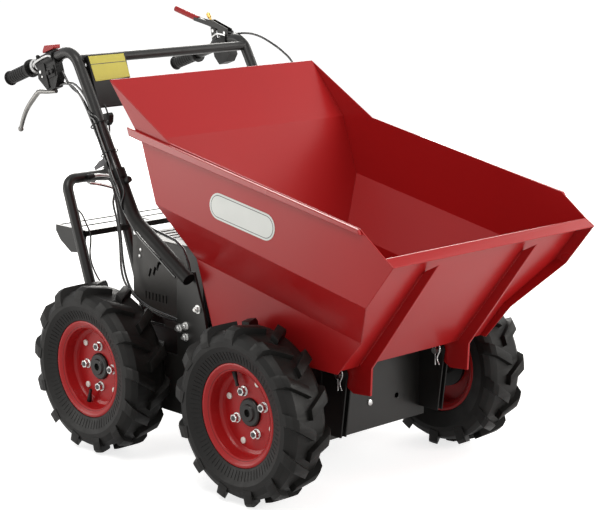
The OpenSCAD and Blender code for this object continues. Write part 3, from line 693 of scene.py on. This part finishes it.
def make_red_lever_details():
    # Fork around the arm of the red lever, its bracket on the clamp, and the pivots.
    s = Shape()
    for near in FORK_SIDES:
        s.prism([by_left(x, near, z) for x, z in LEVER_FORK], Y_AXIS * FORK_THICK)
    for near in EAR_SIDES:
        for ear in LEVER_EARS:
            s.prism([by_left(x, near, z) for x, z in ear], Y_AXIS * EAR_THICK)
    s.done("red_lever_fork", "chassis", "black", "black_paint", bevel=0.0006)
    s = Shape()
    for x, z in LEVER_PIVOTS:
        s.lathe(by_left(x, PIVOT_SIDE, z), Y_AXIS, LEVER_PIVOT, 16)
    s.wire(curve([by_left(*q) for q in LEVER_SPRING]), SPRING_R)
    s.done("red_lever_pivots", "chassis", "zinc", "zinc")

    # Adjuster on the red lever's arm.
    Shape().lathe(at(ADJUSTER_X, HANDLE_Y, ADJUSTER_Z), ADJUSTER_AXIS, ADJUSTER, 18) \
        .done("lever_adjuster", "chassis", "brass", "zinc")


# Hand lever under the right grip, along the tube and over it, and the foot of the red lever's arm.
HAND_LEVER = ((-6.0, -79.0), (-40.0, -72.0), (-74.0, -63.0), (-89.0, -66.0), (-108.0, -73.6), (-140.0, -88.5),
              (-166.0, -107.5), (-189.0, -131.0))
LEVER_R, LEVER_SWELL, BALL_R, ARM_R = 0.0052, 0.0012, 0.0075, 0.0058
BALL_STEPS = 12
ARM_X, ARM_Z = 8.0, 30.0
ARM_BACK, ARM_RISE = 164.0, 106.0
ARM_FOOT = (19.5, 24.0, 29.0)
ARM_STOPS = (0.03, 0.1, 0.5, 1.0)

# Right switch box: outlines along the tube and over it, on its outer side.
BOX_SIDE = 15.1
FACE_THICK, PAD_THICK = 0.0035, 0.0022
BUTTON_SIDE, SCREW_SIDE = 17.4, 18.7
BUTTON = [(0.0, 0.006), (0.004, 0.006), (0.005, 0.005)]
BOX_FACE = ((-34.0, -5.0), (-7.0, -5.0), (-7.0, -69.0), (-17.0, -69.0), (-41.0, -36.0))
BOX_PAD = ((-3.0, -20.0), (28.0, -20.0), (28.0, -47.0), (-3.0, -47.0))
BOX_BUTTONS = ((4.0, -33.5), (20.0, -33.5))
BOX_SCREWS = ((-26.0, -24.0, 0.0046), (-22.0, -37.0, 0.003))  # with their radius
SCREW_HEAD = ((0.0, 1.0), (0.002, 1.0), (0.0028, 0.7))  # height, and share of that radius
TUBE_BANDS = (-66.0, -61.0, -46.0)
BAND_R, BAND_WIRE = 0.0162, 0.0024
LINK_R = 0.0027
BOX_LINK = ((-52.0, 17.0, -3.0), (-44.0, 21.0, 2.0), (-22.0, 22.0, 5.0), (2.0, 22.0, 6.0), (20.0, 21.0, 5.0),
            (27.0, 17.0, 1.0))
SIDE_BUTTON_AT, SIDE_BUTTON_AXIS = (-20.0, 17.0, 9.0), (0, -0.8, 0.6)
SIDE_BUTTON = [(0.0, 0.005), (0.008, 0.005), (0.011, 0.0035)]
GRIP_END, GRIP_END_R = -183.0, 0.0168


def make_lever_and_switch_details():
    # Levers: a tapered one with a ball end under the right grip, and the arm of the red one on the left.
    s = Shape()
    path = curve([by_right(x, 0.0, z) for x, z in HAND_LEVER])
    last = len(path) - 1
    s.wire(path, [LEVER_R + LEVER_SWELL * math.sin(math.pi * i / last) for i in range(last + 1)], 14)
    ball = [(BALL_R * math.cos(t), BALL_R * math.sin(t))
            for t in [math.pi * (1.0 - k / BALL_STEPS) for k in range(1, BALL_STEPS)]]
    s.lathe(path[-1], path[-1] - path[-2], ball, 18)
    arm = [by_left(ARM_X, 0.0, z) for z in ARM_FOOT]
    arm += [by_left(ARM_X - ARM_BACK * t, 0.0, ARM_Z + ARM_RISE * t) for t in ARM_STOPS]
    s.wire(arm, ARM_R, 14)
    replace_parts(s.done("hand_lever_blades", "chassis", "lever", "zinc"), "hand_levers")

    # Raised face and buttons of the right switch box.
    s = Shape()
    s.prism([by_right(x, BOX_SIDE, z) for x, z in BOX_FACE], -Y_AXIS * FACE_THICK)
    s.prism([by_right(x, BOX_SIDE, z) for x, z in BOX_PAD], -Y_AXIS * PAD_THICK)
    for x, z in BOX_BUTTONS:
        s.lathe(by_right(x, BUTTON_SIDE, z), -Y_AXIS, BUTTON, 20)
    s.done("switch_face", "chassis", "plastic", "black_plastic", bevel=0.0008)

    # Its bright fixings: screws, bands on the tube, and a link over it.
    s = Shape()
    for x, z, r in BOX_SCREWS:
        s.lathe(by_right(x, SCREW_SIDE, z), -Y_AXIS, [(h, r * k) for h, k in SCREW_HEAD], 18)
    for x in TUBE_BANDS:
        s.wire(circle(by_right(x, 0.0, 0.0), Y_AXIS, GRIP_ACROSS, BAND_R, 32), BAND_WIRE, 8, closed=True)
    s.wire(curve([by_right(*q) for q in BOX_LINK]), LINK_R)
    s.done("switch_fixings", "chassis", "zinc", "zinc")

    # Rims of the grips' ends, and a button on the box.
    s = Shape()
    s.lathe(by_right(*SIDE_BUTTON_AT), SIDE_BUTTON_AXIS, SIDE_BUTTON, 16)
    for side, _ in SIDES:
        c = on_tube(RIGHT_BOX_X, side, GRIP_END, 0.0, 0.0)
        s.wire(circle(c, Y_AXIS, GRIP_ACROSS, GRIP_END_R, 36), BAND_WIRE, 8, closed=True)
    s.done("grip_ends", "chassis", "plastic", "black_plastic")


# Two cables on the right tube, each at its own turn round it: the way up the tube, the turn past its own,
# and the distance from the tube's middle.
TUBE_CABLE_TURNS, TUBE_CABLE_R = (76.0, 41.0), 0.0024
TUBE_CABLE = ((292.0, 95.0, 17.0), (276.0, 40.0, 17.0), (258.0, 0.0, 16.7), (215.0, 0.0, 16.7),
              (170.0, 0.0, 16.7), (146.0, 0.0, 18.4), (129.0, 0.0, 22.0), (105.0, 0.0, 22.0),
              (88.0, 0.0, 19.0), (66.0, 6.0, 18.8), (46.0, 60.0, 19.0), (34.0, 105.0, 19.5))
CLAMP_UP, CLAMP_BACK = 152.0, 17.0
CLAMP = [(0.0, 0.0105), (0.012, 0.0105), (0.016, 0.0085), (0.018, 0.006)]
CLAMP_LEVER = ((-306.0, 709.0), (-300.0, 694.0), (-322.0, 683.0), (-346.0, 673.0), (-351.0, 679.0),
               (-330.0, 697.0))
CLAMP_LEVER_THICK = 0.004
THIN_R = 0.0022
CONSOLE_LEADS = (((-352.0, -238.0, 832.0), (-343.0, -239.0, 822.0), (-336.0, -240.0, 812.0),
                  (-333.0, -240.0, 802.0)),
                 ((-331.0, -240.0, 790.0), (-328.0, -241.0, 772.0), (-326.0, -245.0, 752.0),
                  (-318.0, -256.0, 730.0), (-300.0, -266.0, 706.0)))
CONNECTOR = ((-346.0, 808.0), (-324.0, 813.0), (-319.0, 806.0), (-321.0, 790.0), (-329.0, 781.0),
             (-338.0, 783.0))
CONNECTOR_Y, CONNECTOR_THICK = -247.0, 0.014
ROD_R = 0.0045
SHIFT_RODS = (((-503.0, -164.0, 628.0), (-502.0, -140.0, 628.0), (-502.0, -112.0, 623.0),
               (-503.0, -88.0, 614.0)),
              ((-502.0, -176.0, 611.5), (-501.0, -150.0, 606.0), (-500.0, -118.0, 597.0),
               (-499.0, -88.0, 586.0)))
ROD_TIP_AT, ROD_TIP_AXIS = (-503.0, -160.0, 628.0), (0, -1, -0.1)
ROD_TIP = [(0.0, 0.0065), (0.016, 0.0078), (0.02, 0.006)]
LEG_CABLE = ((-494.0, -228.0, 556.0), (-489.0, -219.0, 547.0), (-481.0, -215.0, 537.0),
             (-467.0, -214.0, 517.0), (-453.0, -213.0, 494.0), (-453.0, -212.0, 470.0),
             (-461.0, -209.0, 445.0), (-464.0, -203.0, 415.0), (-452.0, -195.0, 380.0),
             (-425.0, -186.0, 345.0), (-400.0, -182.0, 306.0))


def make_tube_details():
    # Two cables down the near side of the right tube, over the collar of its sleeve.
    s = Shape()
    for turn in TUBE_CABLE_TURNS:
        pts = []
        for d, more, r in TUBE_CABLE:
            t = math.radians(turn + more)
            p = HANDLE_LOW + UP * d - BEHIND * (r * math.cos(t))
            pts.append(in_plane(p, -HANDLE_Y - r * math.sin(t)))
        s.wire(curve(pts), TUBE_CABLE_R)
    s.done("tube_cables", "chassis", "sheath", "cable_black")

    # Clamp with a small lever behind the right tube.
    c = in_plane(HANDLE_LOW + UP * CLAMP_UP + BEHIND * CLAMP_BACK, -HANDLE_Y)
    Shape().lathe(c, in_space(BEHIND), CLAMP, 22).done("tube_clamp", "chassis", "plastic", "black_plastic")
    outline = [at(x, -HANDLE_Y - CLAMP_LEVER_THICK * MM / 2, z) for x, z in CLAMP_LEVER]
    Shape().prism(outline, Y_AXIS * CLAMP_LEVER_THICK) \
        .done("tube_clamp_lever", "chassis", "cast", "cast_metal", bevel=0.001)

    # Connector that hangs from the console, with its lead back to the tube.
    s = Shape()
    for lead in CONSOLE_LEADS:
        s.wire(route(lead), THIN_R)
    s.done("console_lead", "chassis", "sheath", "cable_black")
    Shape().prism([at(x, CONNECTOR_Y, z) for x, z in CONNECTOR], Y_AXIS * CONNECTOR_THICK) \
        .done("console_connector", "chassis", "plastic", "black_plastic", bevel=0.0018)

    # Bright shift rods along the top of the rear hoop, and a cable down its near leg.
    s = Shape()
    for rod in SHIFT_RODS:
        s.wire(route(rod), ROD_R, 12)
    s.done("shift_rods", "chassis", "zinc", "zinc")
    Shape().lathe(at(*ROD_TIP_AT), ROD_TIP_AXIS, ROD_TIP, 18) \
        .done("shift_rod_tip", "chassis", "plastic", "black_plastic")
    Shape().wire(route(LEG_CABLE), THIN_R).done("leg_cable", "chassis", "sheath", "cable_black")


# Routes of the three control cables, as in the CAD.
CABLE_R = 0.003
CABLE_ROUTES = (
    ((-470.0, -272.0, 903.7), (-440.0, -272.0, 867.7), (-385.2, -272.0, 848.7), (-292.6, -272.0, 688.2),
     (-300.0, -238.0, 560.0), (-300.0, -228.0, 400.0), (-230.0, -228.0, 350.0), (-66.0, -252.0, 345.0)),
    ((-479.0, 272.0, 966.0), (-451.0, 274.0, 963.0), (-425.0, 280.0, 968.0), (-392.0, 285.0, 968.0),
     (-357.0, 289.0, 960.0), (-320.0, 292.0, 945.0), (-288.0, 294.0, 929.5), (-256.0, 295.0, 910.0),
     (-236.0, 295.0, 884.0), (-223.0, 295.0, 845.0), (-221.0, 295.0, 799.7), (-231.5, 295.0, 689.7),
     (-190.0, 295.0, 590.0), (-40.0, 295.0, 500.0), (-30.0, 295.0, 425.0), (-35.0, 258.8, 370.0)),
    ((-485.8, -105.0, 585.0), (-480.0, -120.0, 557.0), (-437.0, -140.0, 524.0), (-387.0, -170.0, 475.0),
     (-335.0, -210.0, 405.0), (-302.0, -209.0, 366.0), (-200.0, -209.0, 322.0), (-60.0, -218.0, 330.0),
     (-30.0, -222.0, BEAM_TOP + 2.3)),
)


def make_cables():
    s = Shape()
    for points in CABLE_ROUTES:
        s.wire(rounded([at(*p) for p in points]), CABLE_R, 12)
    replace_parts(s.done("control_cables", "chassis", "sheath", "cable_black"), "cables")


# Parts of the engine. The pull handle's place is in metres, by the corner of the starter's box.
FUEL_CAP_AT = (-160.0, 60.0, 499.3)
FUEL_CAP = [(0.0, 0.024), (0.008, 0.024), (0.0095, 0.022)]
STARTER_X, STARTER_Z = -301.0, 393.2
STARTER_CAP = [(0.0, 0.03), (0.004, 0.03), (0.006, 0.026)]
STARTER_STUDS, STARTER_CIRCLE = 12, 52.0
STARTER_STUD = [(0.0, 0.006), (0.002, 0.006), (0.003, 0.004)]
PULL_GRIP = [(0.0, 0.004), (0.003, 0.0068), (0.022, 0.006), (0.041, 0.0068), (0.044, 0.004)]
PULL_OUT, PULL_Y, PULL_DROP = 0.012, 0.028, 0.034
STEM_Y, STEM_R = 0.05, 0.0026
STEM_STOPS = (0.0, 0.006, 0.014)

# Fins start and step by shares of the engine's height, most of which is the block. Louvres take shares of
# the muffler's. Other places here are in metres, from the low corner of a node's box or past its sides.
FINS, FIN_FROM, FIN_STEP, FIN_THICK = 6, 0.545, 0.034, 0.0024
FIN_X, FIN_Y = (0.004, 0.115), (-0.006, 0.06)
BLOCK_SHARE = 0.75
SEAM_HALF, SEAM_PAST, SEAM_FRONT = 0.0016, 0.004, 0.002
LOUVRES, LOUVRE_FROM, LOUVRE_STEP, LOUVRE_THICK, LOUVRE_END = 5, 0.2, 0.14, 0.0035, 0.012
LOUVRE_X = (-0.003, 0.004)
OUTLET_X, OUTLET_UP = 0.002, 0.012
OUTLET = [(0.0, 0.008), (0.016, 0.008), (0.0162, 0.0064), (0.004, 0.0064)]


def make_engine_details():
    # Fuel cap, and the cap and ring of studs on the starter.
    Shape().lathe(at(*FUEL_CAP_AT), (0, 0, 1), FUEL_CAP, 32) \
        .done("fuel_cap", "chassis", "plastic", "black_plastic", bevel=0.0006)
    s = Shape()
    s.lathe(at(STARTER_X, 0.0, STARTER_Z), (-1, 0, 0), STARTER_CAP, 32)
    for k in range(STARTER_STUDS):
        t = math.radians(360.0 / STARTER_STUDS * k)
        c = at(STARTER_X, STARTER_CIRCLE * math.cos(t), STARTER_Z + STARTER_CIRCLE * math.sin(t))
        s.lathe(c, (-1, 0, 0), STARTER_STUD, 14)
    s.done("starter_studs", "chassis", "plastic", "black_plastic")

    # Pull handle beside the starter, on a short stem.
    low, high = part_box("recoil_starter")
    x, z = low[0] - PULL_OUT, high[2] - PULL_DROP
    s = Shape()
    s.lathe((x, PULL_Y, z), Y_AXIS, PULL_GRIP, 20)
    s.wire([(x + dx, STEM_Y, z) for dx in STEM_STOPS], STEM_R)
    s.done("starter_handle", "chassis", "plastic", "black_plastic")

    # Cooling fins on the cylinder, the tank's seam, and the louvres and outlet of the muffler.
    low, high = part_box("engine_block")
    tall = (high[2] - low[2]) / BLOCK_SHARE
    s = Shape()
    for k in range(FINS):
        z = low[2] + tall * (FIN_FROM + FIN_STEP * k)
        s.box((low[0] + FIN_X[0], low[1] + FIN_Y[0], z),
              (low[0] + FIN_X[1], low[1] + FIN_Y[1], z + FIN_THICK))
    s.done("engine_fins", "chassis", "cast", "cast_metal", bevel=0.0004)
    low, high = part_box("fuel_tank")
    z = (low[2] + high[2]) / 2.0
    s = Shape()
    s.box((low[0] - SEAM_PAST, low[1] - SEAM_PAST, z - SEAM_HALF),
          (high[0] + SEAM_FRONT, high[1] + SEAM_PAST, z + SEAM_HALF))
    s.done("tank_seam", "chassis", "plastic", "black_plastic", bevel=0.0006)
    low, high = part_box("muffler")
    s = Shape()
    for k in range(LOUVRES):
        z = low[2] + (high[2] - low[2]) * (LOUVRE_FROM + LOUVRE_STEP * k)
        s.box((low[0] + LOUVRE_X[0], low[1] + LOUVRE_END, z),
              (low[0] + LOUVRE_X[1], high[1] - LOUVRE_END, z + LOUVRE_THICK))
    s.lathe((low[0] + OUTLET_X, (low[1] + high[1]) / 2.0, low[2] + OUTLET_UP), (-1, 0, 0), OUTLET, 20)
    s.done("muffler_louvres", "chassis", "zinc", "zinc", bevel=0.0004)


# The stage. Strength 1 is white.
WHITE = (1.0, 1.0, 1.0, 1.0)
FLOOR_HALF = 30.0
FLOOR_COLOR = (0.66, 0.66, 0.66, 1.0)
FLOOR_LIFT = 0.75
FLOOR_GLINT = 0.30
SKY_LIGHT = 0.47
SKY_SEEN = 1.0


def either(tree, ray, *names):
    """1 for a ray of any of the named kinds."""
    out = ray.outputs[names[0]]
    for name in names[1:]:
        top = tree.nodes.new("ShaderNodeMath")
        top.operation = "MAXIMUM"
        tree.links.new(out, top.inputs[0])
        tree.links.new(ray.outputs[name], top.inputs[1])
        out = top.outputs[0]
    return out


def make_floor():
    h = FLOOR_HALF
    mesh = bpy.data.meshes.new("floor")
    mesh.from_pydata([(-h, -h, 0), (h, -h, 0), (h, h, 0), (-h, h, 0)], [], [(0, 1, 2, 3)])
    floor = bpy.data.objects.new("floor", mesh)
    bpy.context.scene.collection.objects.link(floor)
    mat = bpy.data.materials.new("pale_floor")
    mat.use_nodes = True
    t = mat.node_tree
    bsdf = t.nodes["Principled BSDF"]
    bsdf.inputs["Base Color"].default_value = FLOOR_COLOR
    bsdf.inputs["Specular IOR Level"].default_value = 0.0
    bsdf.inputs["Roughness"].default_value = 0.9
    # The camera sees the floor lifted to white outside the object's shadow, and
    # reflections see it lifted less. Light that bounces off it sees it plain.
    ray = t.nodes.new("ShaderNodeLightPath")
    shader = bsdf.outputs[0]
    for strength, kinds in ((FLOOR_GLINT, ("Is Glossy Ray", "Is Transmission Ray")),
                            (FLOOR_LIFT, ("Is Camera Ray",))):
        light = t.nodes.new("ShaderNodeEmission")
        light.inputs["Color"].default_value = WHITE
        light.inputs["Strength"].default_value = strength
        lit = t.nodes.new("ShaderNodeAddShader")
        t.links.new(bsdf.outputs[0], lit.inputs[0])
        t.links.new(light.outputs[0], lit.inputs[1])
        mix = t.nodes.new("ShaderNodeMixShader")
        t.links.new(either(t, ray, *kinds), mix.inputs[0])
        t.links.new(shader, mix.inputs[1])
        t.links.new(lit.outputs[0], mix.inputs[2])
        shader = mix.outputs[0]
    t.links.new(shader, t.nodes["Material Output"].inputs["Surface"])
    mesh.materials.append(mat)


def make_world():
    """A soft white surround, which the camera and reflections see as plain white."""
    world = bpy.data.worlds.new("studio")
    bpy.context.scene.world = world
    world.use_nodes = True
    w = world.node_tree
    sky = w.nodes["Background"]
    seen = w.nodes.new("ShaderNodeBackground")
    for node, strength in ((sky, SKY_LIGHT), (seen, SKY_SEEN)):
        node.inputs["Color"].default_value = WHITE
        node.inputs["Strength"].default_value = strength
    ray = w.nodes.new("ShaderNodeLightPath")
    mix = w.nodes.new("ShaderNodeMixShader")
    w.links.new(either(w, ray, "Is Camera Ray", "Is Glossy Ray", "Is Transmission Ray"), mix.inputs[0])
    w.links.new(sky.outputs[0], mix.inputs[1])
    w.links.new(seen.outputs[0], mix.inputs[2])
    w.links.new(mix.outputs[0], w.nodes["World Output"].inputs["Surface"])


# Soft round lamps: name, place, aim, size and power.
LAMP_COLOR = (1.0, 0.975, 0.93)
LAMPS = (("key", (0.9, -2.2, 4.5), (0.1, 0.0, 0.4), 2.2, 72.0),
         ("front", (4.2, 1.6, 1.6), (0.2, 0.0, 0.4), 2.2, 96.0),
         ("left", (1.2, 3.2, 2.2), (0.4, 0.4, 0.1), 2.0, 34.0),
         ("wall", (-3.6, 3.4, 1.9), (0.0, 0.0, 0.6), 4.5, 280.0),
         ("back", (-3.4, -3.2, 1.0), (-0.1, -0.3, 0.6), 1.8, 20.0),
         ("glow", (-1.75, -1.95, 0.4), (0.0, -0.3, 0.6), 1.1, 8.0))


def make_lights():
    for name, place, aim, size, power in LAMPS:
        data = bpy.data.lights.new(name, "AREA")
        data.shape = "DISK"
        data.size = size
        data.energy = power
        data.color = LAMP_COLOR
        obj = bpy.data.objects.new(name, data)
        bpy.context.scene.collection.objects.link(obj)
        turn = (Vector(aim) - Vector(place)).to_track_quat("-Z", "Y").to_matrix().to_4x4()
        obj.matrix_world = Matrix.Translation(Vector(place)) @ turn


make_camera()
make_materials()
dress_frame()
make_wheel_details()
make_skip_details()
make_chassis_details()
make_handle_details()
make_red_lever_details()
make_lever_and_switch_details()
make_tube_details()
make_cables()
make_engine_details()
make_floor()
make_world()
make_lights()
bpy.context.scene.view_settings.view_transform = "Standard"
